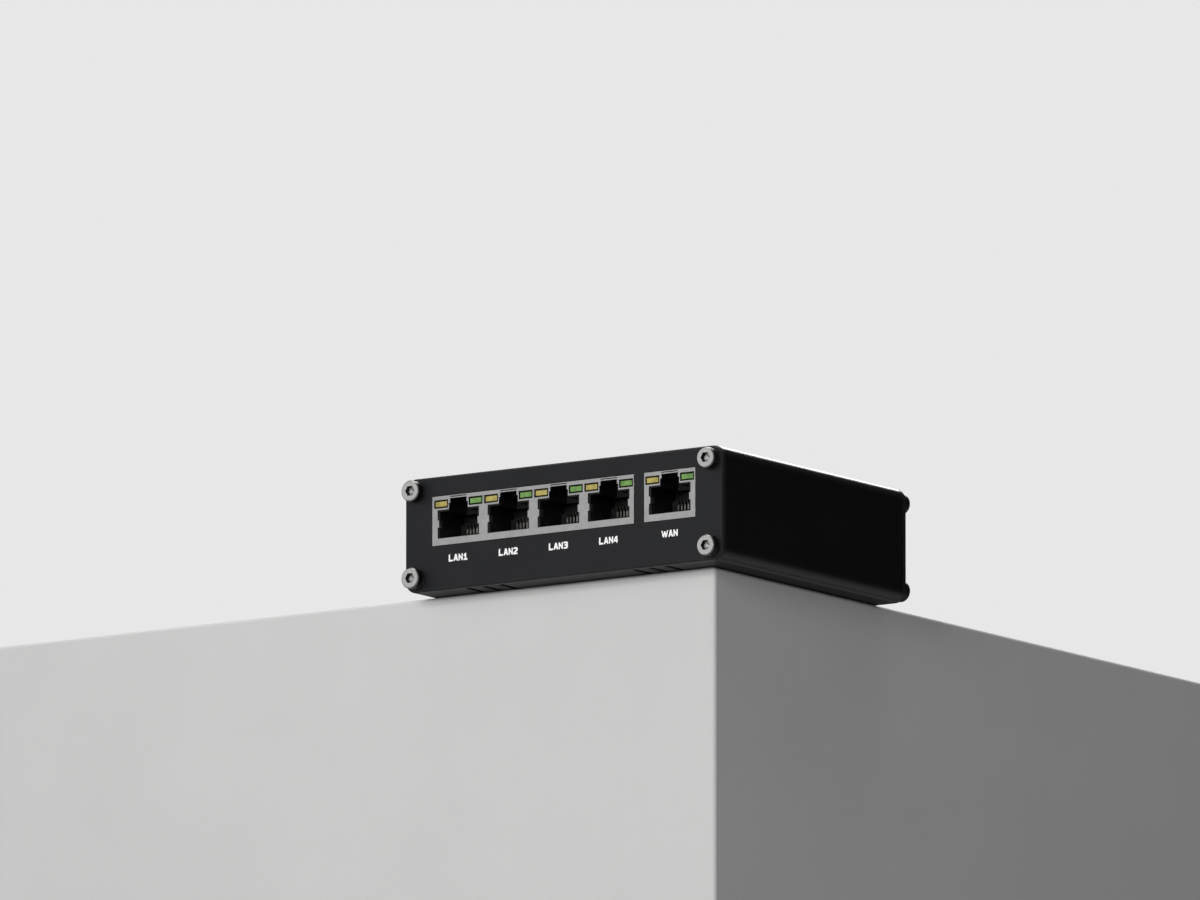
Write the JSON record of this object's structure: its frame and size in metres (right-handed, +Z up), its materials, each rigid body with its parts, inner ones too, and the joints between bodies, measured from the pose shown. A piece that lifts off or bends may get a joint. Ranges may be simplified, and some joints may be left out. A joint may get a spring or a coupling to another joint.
{
  "type": "firewall appliance",
  "caption": "Small desktop network firewall: flat black aluminium sleeve with end panels on cap screws, a ganged row of network jacks with status windows and a separate WAN jack.",
  "frame": {"origin": "centre of the sleeve's underside", "axes": "+Z up, front panel with the network jacks faces -Y, +X to the right seen from the front"},
  "size_m": [0.1, 0.091, 0.03],
  "materials": {
    "black_anodised": "satin black anodised extrusion",
    "black_panel": "matte black anodised sheet",
    "screw_steel": "bright zinc plated",
    "plated_sheet": "satin nickel plated",
    "black_plastic": "moulded, fine matte",
    "contact_gold": "gold plated spring wire",
    "tinned_wire": "tinned",
    "yellow_lens": "translucent",
    "green_lens": "translucent",
    "board": "glass-fibre laminate with solder mask",
    "chip_plastic": "moulded epoxy",
    "crystal_can": "drawn can",
    "capacitor_can": "aluminium can",
    "ferrite": "pressed",
    "ceramic_tan": "fired, plain",
    "resistor_black": "glazed film",
    "tongue_plastic": "moulded, satin",
    "power_lens": "translucent"
  },
  "bodies": {
    "root": {"housing": "black_anodised", "front_panel": "black_panel", "rear_panel": "black_panel", "front_screws": "screw_steel", "rear_screws": "screw_steel", "lan_shield": "plated_sheet", "wan_shield": "plated_sheet", "lan_jack_body": "black_plastic", "wan_jack_body": "black_plastic", "lan_contact_tails": "contact_gold", "wan_contact_tails": "contact_gold", "lan_yellow_lights": "yellow_lens", "wan_yellow_light": "yellow_lens", "lan_green_lights": "green_lens", "wan_green_light": "green_lens", "lan_light_legs": "tinned_wire", "wan_light_legs": "tinned_wire", "main_pcb": "board", "network_transformers": "chip_plastic", "transformer_pins": "tinned_wire", "switch_chip": "chip_plastic", "processor": "chip_plastic", "memory_chip": "chip_plastic", "flash_chip": "chip_plastic", "regulator_chip": "chip_plastic", "chip_pins": "tinned_wire", "clock_crystals": "crystal_can", "power_inductors": "ferrite", "surge_diode": "chip_plastic", "power_capacitors": "capacitor_can", "ceramic_capacitors": "ceramic_tan", "resistors": "resistor_black", "power_socket": "black_plastic", "power_pins": "tinned_wire", "usb_shell": "plated_sheet", "usb_tongue": "tongue_plastic", "usb_contacts": "contact_gold", "reset_switch_body": "black_plastic", "reset_switch_legs": "tinned_wire", "power_light": "power_lens", "power_light_holder": "black_plastic"},
    "reset_plunger": {"reset_plunger": "black_plastic"},
    "lan1_contacts": {"lan1_contacts": "contact_gold"},
    "lan2_contacts": {"lan2_contacts": "contact_gold"},
    "lan3_contacts": {"lan3_contacts": "contact_gold"},
    "lan4_contacts": {"lan4_contacts": "contact_gold"},
    "wan_contacts": {"wan_contacts": "contact_gold"}
  },
  "joints": [
    {"name": "reset_press", "type": "slide", "parent": "root", "child": "reset_plunger", "axis": [0, -1, 0], "range_m": [0, 0.00025]},
    {"name": "lan1_contact_flex", "type": "hinge", "parent": "root", "child": "lan1_contacts", "pos_m": [-0.0332, -0.0393, 0.01245], "axis": [1, 0, 0], "range_deg": [-9, 0]},
    {"name": "lan2_contact_flex", "type": "hinge", "parent": "root", "child": "lan2_contacts", "pos_m": [-0.0174, -0.0393, 0.01245], "axis": [1, 0, 0], "range_deg": [-9, 0]},
    {"name": "lan3_contact_flex", "type": "hinge", "parent": "root", "child": "lan3_contacts", "pos_m": [-0.0016, -0.0393, 0.01245], "axis": [1, 0, 0], "range_deg": [-9, 0]},
    {"name": "lan4_contact_flex", "type": "hinge", "parent": "root", "child": "lan4_contacts", "pos_m": [0.0142, -0.0393, 0.01245], "axis": [1, 0, 0], "range_deg": [-9, 0]},
    {"name": "wan_contact_flex", "type": "hinge", "parent": "root", "child": "wan_contacts", "pos_m": [0.03336, -0.0393, 0.01245], "axis": [1, 0, 0], "range_deg": [-9, 0]}
  ]
}
